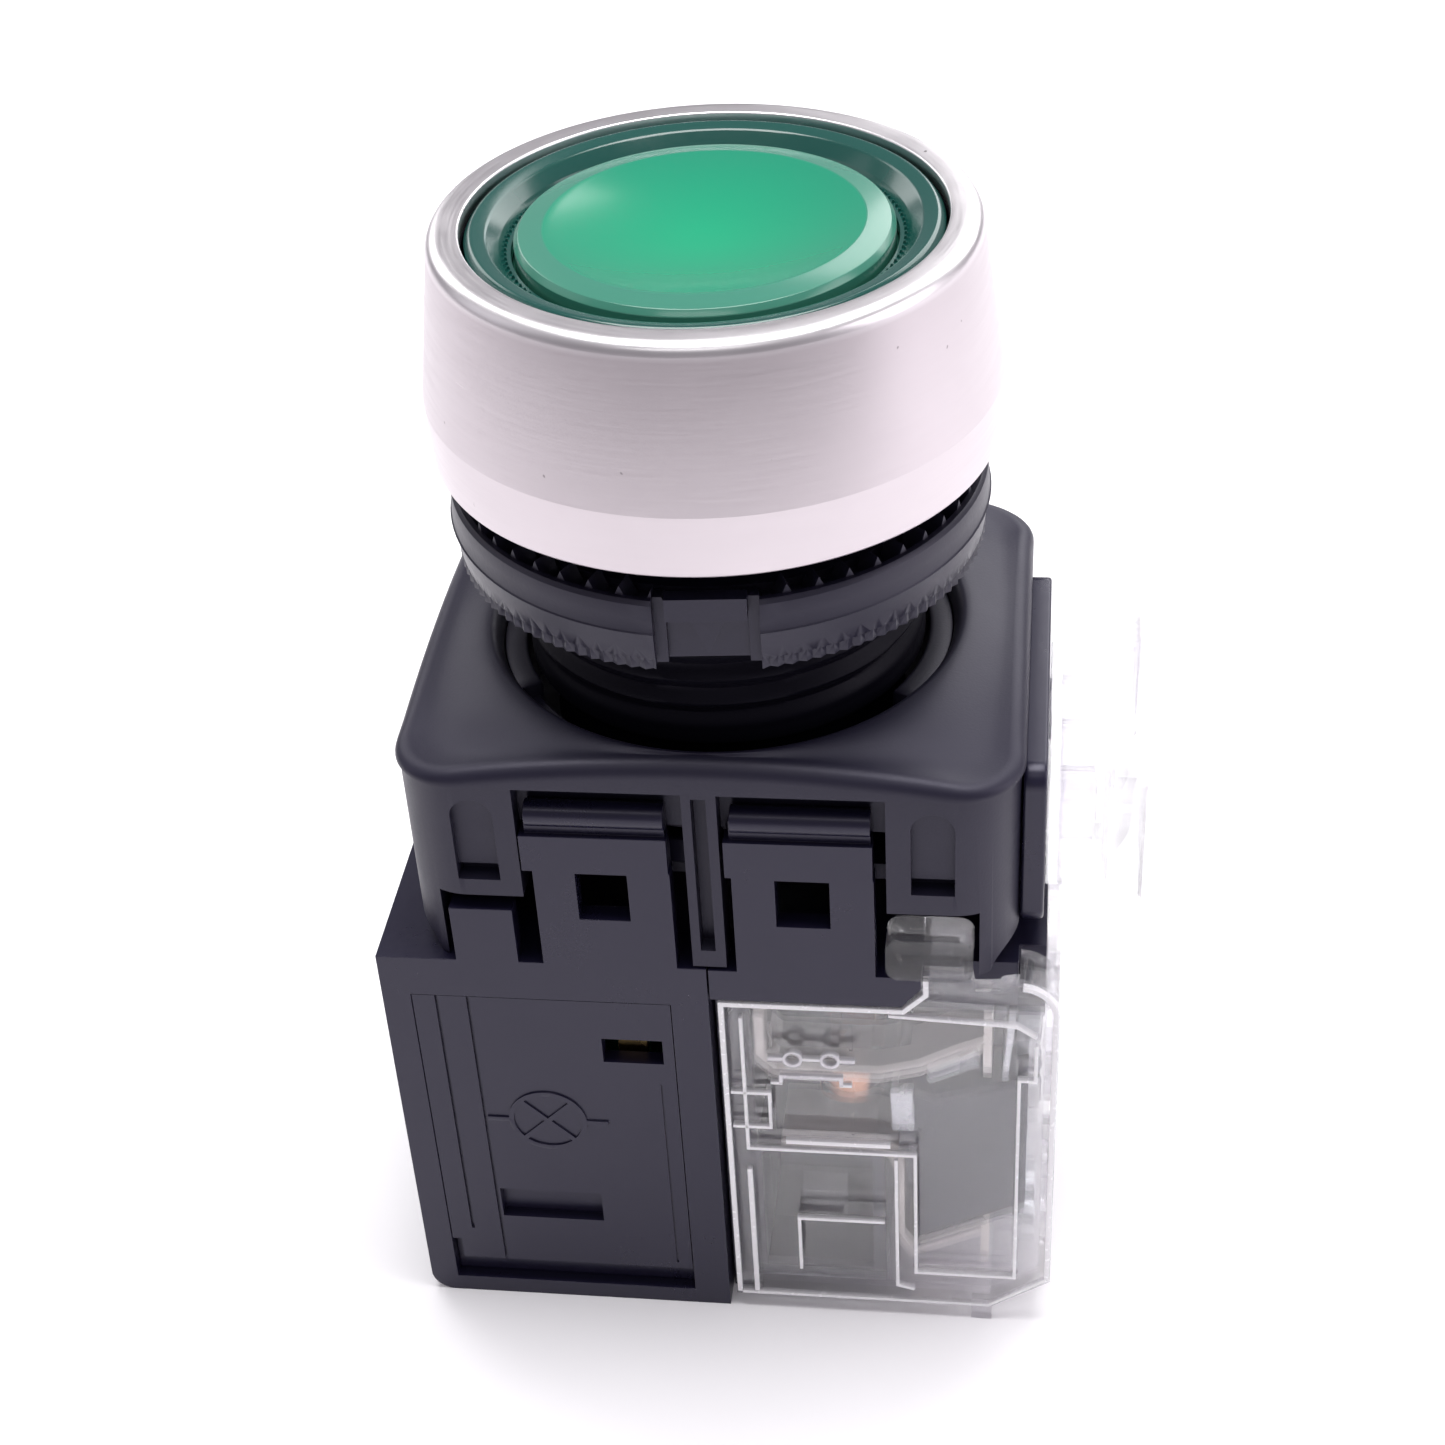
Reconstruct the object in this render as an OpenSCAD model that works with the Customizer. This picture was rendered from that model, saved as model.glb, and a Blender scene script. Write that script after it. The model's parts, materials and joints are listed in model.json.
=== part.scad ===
// Illuminated industrial push button: panel head with a sprung lens, a snap-on
// body with a lock lever, a lamp supply block and a changeover contact block.
// Z is the button axis, Z = 0 is the foot of the two blocks, -Y is the front.

/* [Head] */
// Outer diameter of the metal bezel at its widest ridge
bezel_d = 30.2; // [29.8:0.1:30.6]
// Diameter of the green lens
lens_d = 24.16; // [23.8:0.02:24.3]
// Outer diameter of the neck that passes through the panel
neck_d = 21.9; // [21.6:0.1:21.9]
// Outer diameter of the locking ring
ring_d = 28.8; // [28.4:0.1:29.4]
// How far the button travels when it is pressed
travel = 3; // [2:0.1:3]

/* [Body] */
// Width of the body cap
cap_w = 33.5; // [33:0.1:34]
// Depth of the body cap, front to back
cap_l = 28.4; // [28:0.1:28.8]
// Width of the two blocks together
blocks_w = 37.6; // [37:0.1:38]
// Depth of the two blocks, front to back
blocks_l = 28.2; // [28:0.1:28.2]
// Height of the two blocks
blocks_h = 27.5; // [27.5:0.1:27.6]

/* [Details] */
// Number of teeth round the top of the locking ring
ring_teeth = 52; // [40:1:60]
// Number of fine notches round the foot of the locking ring
ring_notches = 120; // [60:1:140]
// Radius of the vertical corners of the body
corner_r = 3.7; // [3:0.1:4]
// Smoothness of the round parts
round_fn = 96; // [48:8:128]

/* [Hidden] */
$fn = round_fn;

eps = 0.02;              // faces of neighbouring pieces stay this far apart
cut = 1;                 // cutting shapes run past the faces they cut by this much
// Heights above the foot
cap_z = 39.6;            // parting line between cap and frame
frame_top = 39.55;
bezel_z = 53.5;          // underside of the bezel
ridge_z = 57;            // widest ridge of the bezel
shoulder_z = 65;         // where the bezel's cone meets its rounded rim
head_z = 65.6;           // top of the bezel
ring_z = 47.5;           // foot of the locking ring
ring_rim_z = 51.6;       // top of the locking ring's outer rim
flange_z = 53.6;         // underside of the barrel's flange
ledge_z = 44;            // seat of the return spring
neck_end_z = 40.5;       // where the neck steps down to the spigot
spigot_z = 31.6;         // lower end of the barrel
carrier_z = 58.2;        // underside of the button's head
leg_z = 31;              // lower end of the carrier's legs
collar_z = 33;           // underside of the lock collar
deck_z = 31.9;           // underside of the frame's deck
// Radii
neck_r = neck_d / 2;
lens_r = lens_d / 2;
ring_r = ring_d / 2;
bore_r = lens_r + 0.17;  // well that the lens moves in
spigot_r = 9.6;
tube_r = 7.9;            // outer radius of the carrier's tube
tube_bore_r = 6.7;
clip_r = 8.35;           // outer radius of the retaining clip
clip_z = 42.1;           // underside of the retaining clip
running = 0.05;          // radial clearance of a turning fit
// Half sizes
cap_x = cap_w / 2;
cap_y = cap_l / 2;
block_x = blocks_w / 2;
block_y = blocks_l / 2;
frame_x = cap_x - 0.2;
frame_y = cap_y - 0.2;
frame_in = 12.1;         // inner face of the frame's front and back walls
tongue_in = 12.9;        // inner face of the latch tongues
// Lock: the pin's distance from the axis, and the lever's travel along Y
lock_pin_r = 13.2;
lock_travel = 3.5;
lock_angle = atan(lock_travel / lock_pin_r);
// Contact block: place of the plunger's axis
plunger_x = 7.3;
bridge_z = 17.3;         // underside of the contact bridge
terminal_zs = [21.4, 6.2]; // heights of the upper and lower terminal screws
strip_t = 0.6;           // thickness of the fixed contacts' strips
// Colours
black = [0.09, 0.09, 0.11];
gloss = [0.12, 0.12, 0.14];
clear = [0.9, 0.9, 0.95, 0.4];
green = [0.02, 0.5, 0.28];
dark_green = [0.01, 0.28, 0.2];
silver = [0.8, 0.77, 0.78];
steel = [0.65, 0.66, 0.68];
brass = [0.78, 0.62, 0.3];
copper = [0.75, 0.42, 0.27];

// ---- helpers ----
module box(x0, x1, y0, y1, z0, z1) { translate([x0, y0, z0]) cube([x1 - x0, y1 - y0, z1 - z0]); }
module tube(r_out, r_in, z0, z1) {
  translate([0, 0, z0]) difference() {
    cylinder(r = r_out, h = z1 - z0);
    translate([0, 0, -cut]) cylinder(r = r_in, h = z1 - z0 + 2 * cut);
  }
}
module front_and_back() { children(); mirror([0, 1, 0]) children(); }
// an outline drawn in X and Z, given depth from y0 to y1
module upright(y0, y1) { translate([0, y1, 0]) rotate([90, 0, 0]) linear_extrude(y1 - y0) children(); }
module rounded_rect(x, y, r) {
  union() {
    square([2 * x, 2 * (y - r)], center = true);
    square([2 * (x - r), 2 * y], center = true);
    for (sx = [-1, 1], sy = [-1, 1]) translate([sx * (x - r), sy * (y - r)]) circle(r = r, $fn = 48);
  }
}
// a rectangle from corner to corner whose four corners are rounded
module plate_outline(x0, x1, z0, z1, r) {
  translate([(x0 + x1) / 2, (z0 + z1) / 2]) rounded_rect((x1 - x0) / 2, (z1 - z0) / 2, r);
}
// a round wire coil standing on z0, with flat closed ends left out
module coil(r, wire_r, z0, z1, turns) {
  sides = 8;
  rings = turns * 16;
  pts = [for (i = [0:rings]) let (a = 360 * turns * i / rings, z = z0 + wire_r + (z1 - z0 - 2 * wire_r)
    * i / rings)
    for (j = [0:sides - 1]) let (b = 360 * j / sides)
      [(r + wire_r * cos(b)) * cos(a), (r + wire_r * cos(b)) * sin(a), z + wire_r * sin(b)]];
  sides_faces = [for (i = [0:rings - 1], j = [0:sides - 1]) let (n = (j + 1) % sides)
    [i * sides + j, i * sides + n, (i + 1) * sides + n, (i + 1) * sides + j]];
  ends = [[for (j = [sides - 1:-1:0]) j], [for (j = [0:sides - 1]) rings * sides + j]];
  polyhedron(points = pts, faces = concat([for (f = sides_faces) [f[3], f[2], f[1], f[0]]],
    [for (e = ends) [for (k = [len(e) - 1:-1:0]) e[k]]]), convexity = 10);
}
// ---- head ----
module bezel() {
  rim_r = 0.6;
  top_r = 13.9;
  wall = 0.8;
  r = bezel_d / 2;
  rim = [for (a = [90:-10:0]) [top_r - rim_r + rim_r * cos(a), shoulder_z + rim_r * sin(a)]];
  color(silver) rotate_extrude() polygon(concat([[bore_r, head_z]], rim, [[r, ridge_z], [r - 0.2, bezel_z],
    [r - 0.2 - wall + 0.15, bezel_z], [r - wall, ridge_z + 0.2], [top_r - wall, shoulder_z - 0.3],
    [bore_r, shoulder_z - 0.3]]));
}

module head_barrel() {
  r = bezel_d / 2 - 0.8 - eps;
  slot_w = 3.4;
  color(black) difference() {
    rotate_extrude() polygon([[bore_r, shoulder_z - 0.35], [13.1 - eps, shoulder_z - 0.35], [r,
      ridge_z + 0.2],
      [r - 0.05, flange_z], [neck_r, flange_z], [neck_r, neck_end_z], [spigot_r, neck_end_z],
      [spigot_r, collar_z + 1.8], [9, collar_z + 1.8], [9, collar_z - 0.2], [spigot_r, collar_z - 0.2],
      [spigot_r, spigot_z], [clip_r + running, spigot_z], [clip_r + running, clip_z + 0.65], [8.1,
        clip_z + 0.65],
      [8.1, ledge_z], [9.7, ledge_z], [9.7, 54.9], [bore_r, 54.9]]);
    // entry slots for the two dogs of the lock collar
    for (a = [0, 180]) rotate(a + lock_angle)
      box(-slot_w / 2, slot_w / 2, 9, 11, spigot_z - cut, collar_z);
  }
}

module panel_gasket() {
  color([0.05, 0.05, 0.05]) tube(13.2, neck_r + eps, flange_z - 0.9, flange_z - eps);
}

// fine scalloped outline for the foot of the ring
module notched_disc(r_out, depth, count) {
  polygon([for (i = [0:2 * count - 1]) let (a = 180 * i / count, r = r_out - (i % 2) * depth)
    [r * cos(a), r * sin(a)]]);
}

module locking_ring() {
  notch_a = 4;            // the notch sits a little to the right of the front
  notch_w = 5.3;
  tab_w = 4.1;
  tooth_w = 1.15;
  parting_z = 49.8;
  color(black) difference() {
    union() {
      rotate_extrude() polygon([[neck_r + running, 48.1], [ring_r - 0.25, 48.1], [ring_r, parting_z - 0.06],
        [ring_r + 0.08, parting_z], [ring_r, parting_z + 0.06], [ring_r - 0.1, ring_rim_z - 0.2],
        [ring_r - 0.3, ring_rim_z],
        [ring_r - 0.6, ring_rim_z], [ring_r - 0.6, 51], [12.4, 51], [12.4, 51.4], [neck_r + running, 51.4]]);
      translate([0, 0, ring_z]) linear_extrude(0.65) difference() {
        notched_disc(ring_r - 0.22, 0.18, ring_notches);
        circle(r = neck_r + 1);
      }
      for (i = [0:ring_teeth - 1]) rotate(360 * i / ring_teeth) translate([12.7, 0, 50.9])
        rotate([90, 0, 90]) linear_extrude(1.15) polygon([[-tooth_w / 2, 0], [tooth_w / 2, 0], [0, 1.2]]);
    }
    rotate(notch_a) box(-notch_w / 2, notch_w / 2, -ring_r - cut, -13.2, ring_z - cut, ring_rim_z + cut);
    rotate(notch_a) box(-notch_w / 2, notch_w / 2, -13.3, -12.3, 51.4, ring_rim_z + cut);
    // deeper floor behind the mark
    rotate(notch_a) box(-tab_w / 2, tab_w / 2, -ring_r, -12.75, ring_z - cut, 50.5);
  }
  color(black) rotate(notch_a) {
    box(-tab_w / 2, tab_w / 2, -13.95, -13.1, 50.4, 51.7);
    upright(-13.3, -12.7) polygon([[-0.95, 50.2], [0.95, 50.2], [0, 48.1]]);
  }
}

module lens_ring() {
  // outer ring of the lens: a rounded crown that slopes down into the groove round the disc
  groove_r = 9.75;
  color(dark_green) rotate_extrude() difference() {
    polygon([[groove_r, 60.5], [lens_r, 60.5], [lens_r, 65], [lens_r - 0.12, 65.3], [lens_r - 0.4, 65.42],
      [11, 65.2], [10.45, 64.7], [10.15, 64.2], [groove_r, 64.2]]);
    translate([groove_r - cut, 60]) square([cut + 0.25, 3.6]);
  }
}

module lens() {
  // disc with a bevelled border and a shallow spherical dish
  disc_r = 9.6;
  dish_r = 8.1;
  dish_depth = 1.1;
  ball_r = (dish_r * dish_r + dish_depth * dish_depth) / (2 * dish_depth);
  color(green) difference() {
    rotate_extrude() polygon([[0, 62.4], [disc_r + 0.25, 62.4], [disc_r + 0.25, 63.3], [disc_r, 63.4],
      [disc_r, 64.8],
      [disc_r - 0.15, 64.95], [dish_r, 65.25], [0, 65.25]]);
    translate([0, 0, 65.25 - dish_depth + ball_r]) sphere(r = ball_r, $fn = 128);
  }
}

module lens_diffuser() { color("white") translate([0, 0, 61.3]) cylinder(r = 9.5, h = 1); }

module button_carrier() {
  leg_w = 5;
  color([0.85, 0.85, 0.83]) difference() {
    union() {
      tube(11.7, tube_bore_r, carrier_z, 60.45);
      tube(9.45, 8.3, 60.4, 61.25);
      tube(tube_r, tube_bore_r, 40, carrier_z + 0.1);
      intersection() {
        tube(tube_r, tube_bore_r, leg_z, 40.1);
        box(-10, 10, -leg_w / 2, leg_w / 2, leg_z, 40.2);
      }
    }
    // groove for the retaining clip
    tube(tube_r + cut, 7.35, clip_z - 0.1, clip_z + 0.65);
  }
}

module retaining_clip() {
  color(steel) difference() {
    tube(clip_r, 7.4, clip_z, clip_z + 0.55);
    box(-1.5, 1.5, 0, 10, clip_z - cut, clip_z + 2);
  }
}

module return_spring() { color(steel) coil(8.8, 0.3, ledge_z + eps, carrier_z - eps, 6); }

// ---- lamp ----
module led_dome() {
  dome_r = 4.3;
  straight = 4;
  color([0.9, 0.95, 0.9]) translate([0, 0, 49.25]) rotate_extrude() intersection() {
    union() {
      square([dome_r, straight]);
      translate([0, straight]) circle(r = dome_r);
    }
    square([dome_r + cut, straight + dome_r + cut]);
  }
}

module led_base() {
  color(brass) union() {
    tube(4.4, 3.8, 40, 49.2);
    translate([0, 0, 39]) cylinder(r = 4.4, h = 1.4);
    translate([0, 0, 38]) cylinder(r = 1.6, h = 1.2);
    // bayonet pins
    for (s = [-1, 1]) translate([s * 4.3, 0, 43.5]) rotate([0, s * 90, 0]) cylinder(r = 0.6, h = 0.75,
      $fn = 24);
  }
}

module lamp_socket() {
  slot_w = 1.5;
  color([0.8, 0.78, 0.72]) difference() {
    union() {
      translate([0, 0, blocks_h + 0.05]) cylinder(r = 5.8, h = 1.4);
      tube(5.4, 4.5, blocks_h + 1, 45.5);
      translate([0, 0, 34]) cylinder(r = 5, h = 1.5);
    }
    // bayonet slots for the lamp's pins
    box(-6, 6, -slot_w / 2, slot_w / 2, 42.6, 46.5);
    // slots that the feed strips come up through
    for (s = [-1, 1]) box(s * 3.2 - 0.4, s * 3.2 + 0.4, -1.5, 1.5, blocks_h - cut, 36.5);
  }
}

module lamp_feed_strips() {
  // centre spring to the lamp's tip, and a side strip to its shell
  color(brass) {
    box(-3.4, -3, -1.2, 1.2, blocks_h - 3, 37.4);
    box(-3.4, 1.2, -1.2, 1.2, 37.4, 37.9);
    box(3, 3.4, -1.2, 1.2, blocks_h - 3, 38.6);
  }
}

// ---- body ----
// height of the cap's edge over a point of its outline: arched between the corners
function cap_edge(x, y) = 42.7 - (x * x + y * y) / 160;
// points along one quarter of a rounded rectangle
function corner_points(x, y, r) = [for (a = [0:15:90]) [x - r + r * cos(a), y - r + r * sin(a)]];
function outline_points(x, y, r) = concat(corner_points(x, y, r),
  [[0, y], [x / 3, y], [x * 0.6, y], [x, 0], [x, y / 3], [x, y * 0.6]]);

module body_cap() {
  blend = 0.9;             // radius of the edge between top and side
  pocket_r = 12.5;
  cup_r = 11.4;
  color(black) {
    difference() {
      union() {
        intersection() {
          hull() {
            translate([0, 0, cap_z]) linear_extrude(0.05) rounded_rect(cap_x, cap_y, corner_r);
            for (p = outline_points(cap_x - blend, cap_y - blend, corner_r - blend), sx = [-1, 1],
              sy = [-1, 1])
              translate([sx * p[0], sy * p[1], cap_edge(p[0], p[1]) - blend]) sphere(r = blend, $fn = 16);
            translate([0, 0, 41.4]) cylinder(r = pocket_r + 0.6, h = 0.55);
          }
          box(-cap_x - cut, cap_x + cut, -cap_y - cut, cap_y + cut, cap_z, cap_z + 5);
        }
        translate([0, 0, 35.6]) cylinder(r = 12, h = 5);
      }
      translate([0, 0, 39.9]) cylinder(r = pocket_r, h = 5);
      translate([0, 0, 36.4]) cylinder(r = cup_r, h = 5);
      translate([0, 0, 35]) cylinder(r = spigot_r + 0.15, h = 5);
      // the edge of the pocket is rounded off
      translate([0, 0, 41.45]) cylinder(r1 = pocket_r - 0.1, r2 = pocket_r + 0.7, h = 0.8);
    }
    // two side ledges in the pocket
    for (s = [0, 180]) rotate(s) intersection() {
      tube(pocket_r + 0.3, 11.15, 36.4, 40.7);
      rotate(-32) cube([20, 20, 50]);
      rotate(-58) cube([20, 20, 50]);
    }
  }
}

module frame_windows() {
  // each window is open to the foot; near the top it is only a pocket
  for (w = [[-9.95, -1], [0.85, 9.6]]) {
    box(w[0], w[1], -frame_y - cut, -frame_in + cut, blocks_h - cut, 36.5);
    box(w[0], w[1], -frame_y - cut, -12.75, 36, frame_top + cut);
  }
  // arched recesses beside the windows
  for (x = [-12.25, 12.05]) {
    upright(-frame_y - cut, -frame_y + 0.55) union() {
      translate([x, 37.6]) circle(r = 1.15, $fn = 48);
      translate([x - 1.15, 33.3]) square([2.3, 4.3]);
    }
    box(x - 1.15, x + 1.15, -frame_y - cut, -frame_y + 1.1, 33.3, 34);
  }
  // slot down the centre rib
  box(-0.5, 0.3, -frame_y - cut, -frame_y + 1, 28.8, frame_top - 0.3);
}

module body_frame() {
  inner_x = frame_x - 1.5;
  color(black) difference() {
    union() {
      difference() {
        translate([0, 0, blocks_h + 0.05]) linear_extrude(frame_top - blocks_h - 0.05)
          rounded_rect(frame_x, frame_y, corner_r - 0.2);
        box(-inner_x, inner_x, -frame_in, frame_in, blocks_h - cut, frame_top + cut);
      }
      // deck that the lock collar turns on
      box(-inner_x - 0.5, inner_x + 0.5, -frame_in - 0.2, frame_in + 0.2, deck_z, collar_z - 0.05);
    }
    translate([0, 0, deck_z - cut]) cylinder(r = spigot_r + 0.4, h = 5);
    front_and_back() frame_windows();
    // the walls end above the blocks' tabs, and the posts are rounded at the foot
    front_and_back() {
      box(-14.65, -9.9, -frame_y - cut, -frame_in + cut, blocks_h - cut, 32.2);
      box(9.55, 14.5, -frame_y - cut, -frame_in + cut, blocks_h - cut, 31.95);
      box(-1.1, 0.9, -frame_y - cut, -frame_in + cut, blocks_h - cut, blocks_h + 0.15);
    }
    for (s = [-1, 1]) translate([s * (frame_x + 0.5), 0, blocks_h - 0.4]) rotate([90, 0, 0])
      cylinder(r = 2, h = 60, center = true, $fn = 48);
    // slot in the right wall for the lever's stem
    box(inner_x - cut, frame_x + cut, -1.4, lock_travel + 1.4, 34.5, 36.3);
  }
}

module side_plate() {
  color(gloss) difference() {
    translate([frame_x + 0.05, 0, 0]) rotate([90, 0, 90]) linear_extrude(1.25) plate_outline(-11.3, 8,
      29, 39.5, 1.2);
    box(frame_x - cut, frame_x + 3, -1.4, lock_travel + 1.4, 34.5, 36.3);
  }
}

module lock_lever() {
  back_x = frame_x + 1.35;   // inner face of the lever, on the side plate
  wall_z = 28.6;
  top_z = 37.4;
  fins = 7;
  // centre line of the wavy grip, in plan
  function grip_x(y) = 21.55 - 0.55 * cos(360 * (y + 2) / 13);
  color(clear) {
    box(back_x, back_x + 0.7, -8.8, 4.3, 30, 37);
    for (i = [0:fins - 1]) let (y = -8.8 + i * 2.1)
      box(back_x + 0.6, back_x + 2.5, y, y + 0.55, i % 2 == 0 ? 30 : 31.5, i % 2 == 0 ? 37.3 : 36.2);
    // ties from the comb to the grip
    box(back_x + 0.6, 21, 3.4, 4.3, 35.6, 37);
    box(back_x + 0.6, 21, -5.2, -4.3, 31.5, 33.5);
    // wavy grip with a thick block at each end
    translate([0, 0, wall_z]) linear_extrude(top_z - wall_z) polygon(concat(
      [for (y = [-8.6:0.6:4.6]) [grip_x(y) - 0.65, y]], [for (y = [4.6:-0.6:-8.6]) [grip_x(y) + 0.65, y]]));
    difference() {
      translate([0, 0, 31]) linear_extrude(top_z + 0.4 - 31) translate([21.95, 4.9]) rounded_rect(1.05,
        1.5, 0.5);
      for (i = [0:2]) box(22.4, 24, 4.05 + i * 0.7, 4.35 + i * 0.7, 30, 40);
    }
    difference() {
      translate([22, -8.5, wall_z - 0.1]) linear_extrude(top_z - wall_z) rounded_rect(1.15, 0.9, 0.5);
      box(21.5, 22.5, -9.5, -8.4, 35.6, 38);
    }
    // stem through the body's wall, and the pin that turns the lock collar
    box(lock_pin_r, back_x + 0.1, -0.8, 0.8, 34.85, 36);
    translate([lock_pin_r, 0, collar_z]) cylinder(r = 0.8, h = 3, $fn = 32);
  }
}

module lock_collar() {
  color(gloss) difference() {
    union() {
      tube(11.8, spigot_r + running, collar_z, collar_z + 1.6);
      // two dogs that turn in the spigot's groove
      for (s = [-1, 1]) intersection() {
        tube(10.5, 9.1, collar_z, collar_z + 1.6);
        box(-1.3, 1.3, s > 0 ? 0 : -12, s > 0 ? 12 : 0, collar_z, collar_z + 1.6);
      }
      box(11, 14.5, -2.2, 2.2, collar_z, collar_z + 1.6);
    }
    box(12.1, 15, -0.95, 0.95, collar_z - cut, collar_z + 1.6 + cut);
  }
}

// ---- latch tongue shared by both blocks: a springy plate with a glossy round bar on top ----
module latch_tongue(stem_x0, stem_x1, bar_x0, bar_x1, hole_x0, hole_x1) {
  bar_r = 0.75;
  difference() {
    union() {
      box(stem_x0, stem_x1, -block_y, -tongue_in, blocks_h - 0.2, 34.2);
      box(bar_x0, bar_x1, -block_y, -tongue_in, 34.1, 36.5);
      box(bar_x0 + 0.3, bar_x1 - 0.1, -block_y + 0.35, -tongue_in, 36.4, 37.7);
      translate([bar_x0 + 0.4, -block_y + bar_r, 37.6]) rotate([0, 90, 0])
        cylinder(r = bar_r, h = bar_x1 - bar_x0 - 0.5, $fn = 48);
    }
    box(hole_x0, hole_x1, -block_y - cut, -tongue_in + cut, 30.8, 34);
    box(bar_x0 - cut, bar_x1 + cut, -tongue_in, 0, 30, 40);
  }
}

// ---- lamp supply block ----
module power_block_case() {
  x1 = -0.3;               // the side that meets the contact block
  wall = 1.2;
  foot_r = 1.4;
  color(gloss) difference() {
    union() {
      upright(-block_y, block_y) union() {
        translate([-block_x, foot_r]) square([x1 + block_x, blocks_h - foot_r]);
        translate([-block_x + foot_r, 0]) square([x1 + block_x - foot_r, foot_r + 0.1]);
        translate([-block_x + foot_r, foot_r]) circle(r = foot_r, $fn = 48);
      }
      front_and_back() {
        latch_tongue(-9.3, -1.88, -9.85, -1.95, -7, -4.2);
        box(-14.2, -10.7, -block_y, -tongue_in, blocks_h - 0.2, 31.25);
      }
    }
    box(-block_x + wall, x1 - wall, -block_y + wall, block_y - wall, wall, blocks_h - wall);
    // opening for the front cover
    box(-17.15, -2.42, -block_y - cut, 0, 1.2, 24.75);
    // mouths of the terminals in the left side
    for (y = [-6.5, 6.5]) {
      translate([-block_x - cut, y, 19]) rotate([0, 90, 0]) cylinder(r = 2.3, h = wall + 2 * cut, $fn = 48);
      box(-block_x - cut, -block_x + wall + cut, y - 1.8, y + 1.8, 11.5, 15);
    }
    // slot for the lamp feed strip
    box(-3.6, -2.8, -1.5, 1.5, blocks_h - wall - cut, blocks_h + cut);
  }
}

module power_block_cover() {
  front = -block_y;
  thick = 1;
  color(gloss) difference() {
    union() {
      upright(front + 0.04, front + thick)
        polygon([[-17.1, 4.6], [-16.55, 4.6], [-16.55, 3], [-2.47, 3], [-2.47, 24.7], [-17.1, 24.7]]);
      // sunk lip along the foot of the cover
      upright(front + 0.75, front + thick)
        polygon([[-17.1, 1.25], [-2.47, 1.25], [-2.47, 3.1], [-16.5, 3.1], [-16.5, 4.7], [-17.1, 4.7]]);
      // plain relief: a lamp sign, a circle with a cross, between two short bars
      translate([-10.2, front + 0.1, 15.2]) rotate([90, 0, 0]) linear_extrude(0.16) {
        difference() { circle(r = 2.3, $fn = 64); circle(r = 2, $fn = 64); }
        for (a = [45, -45]) rotate(a) square([4.1, 0.3], center = true);
        for (s = [-1, 1]) translate([s * 2.85, 0]) square([1.4, 0.3], center = true);
      }
    }
    // two fine grooves and a border line
    box(-15.8, -15.62, front - cut, front + 0.22, 5.6, 25);
    box(-14, -13.82, front - cut, front + 0.22, 2, 25);
    box(-3.4, -3.28, front - cut, front + 0.14, 3.5, 18.5);
    // window onto the brass strip, and the shallow slot near the foot
    box(-6.55, -3.1, front - cut, front + thick + cut, 20.1, 21.9);
    box(-13.7, -7.6, front - cut, front + 0.7, 6.85, 9.2);
  }
}

module supply_board() {
  color([0.08, 0.35, 0.2]) difference() {
    box(-17.55, -1.55, -3.5, -1.9, 1.25, 17);
    for (x = [-16.2, -3]) translate([x, 0, 4]) rotate([90, 0, 0]) cylinder(r = 0.5, h = 10, $fn = 24);
  }
}

module dropper_resistor() {
  color([0.75, 0.65, 0.45]) translate([-13, -5.52, 9]) rotate([0, 90, 0]) union() {
    cylinder(r = 2, h = 7, $fn = 48);
    translate([0, 0, -0.9]) cylinder(r = 1.5, h = 8.8, $fn = 48);
  }
}

module power_contact_strips() {
  // from each terminal screw across to the lamp feed; the front one shows in the cover's window
  color(brass) front_and_back() union() {
    box(-16.9, -16.3, -9.2, -3.8, 16.5, 21.5);
    box(-16.9, -4.2, -9.2, -8.7, 20, 21.9);
    box(-4.8, -4.2, -12.4, -8.7, 20, 21.9);
    box(-5.9, -4.2, -12.8, -12.3, 17.8, 21.9);
  }
}

module power_terminal_screws() {
  color(steel) for (y = [-6.5, 6.5]) translate([-block_x + 0.5, y, 19]) mirror([1, 0, 0]) power_screw();
}

module power_screw() {
  // short version of the terminal screw, stopping at the strip
  head_r = 1.9;
  rotate([0, -90, 0]) difference() {
    cylinder(r = head_r, h = 1.35, $fn = 48);
    translate([-3, -0.35, -cut]) cube([6, 0.7, cut + 0.7]);
    translate([-0.35, -3, -cut]) cube([0.7, 6, cut + 0.7]);
  }
}

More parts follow.
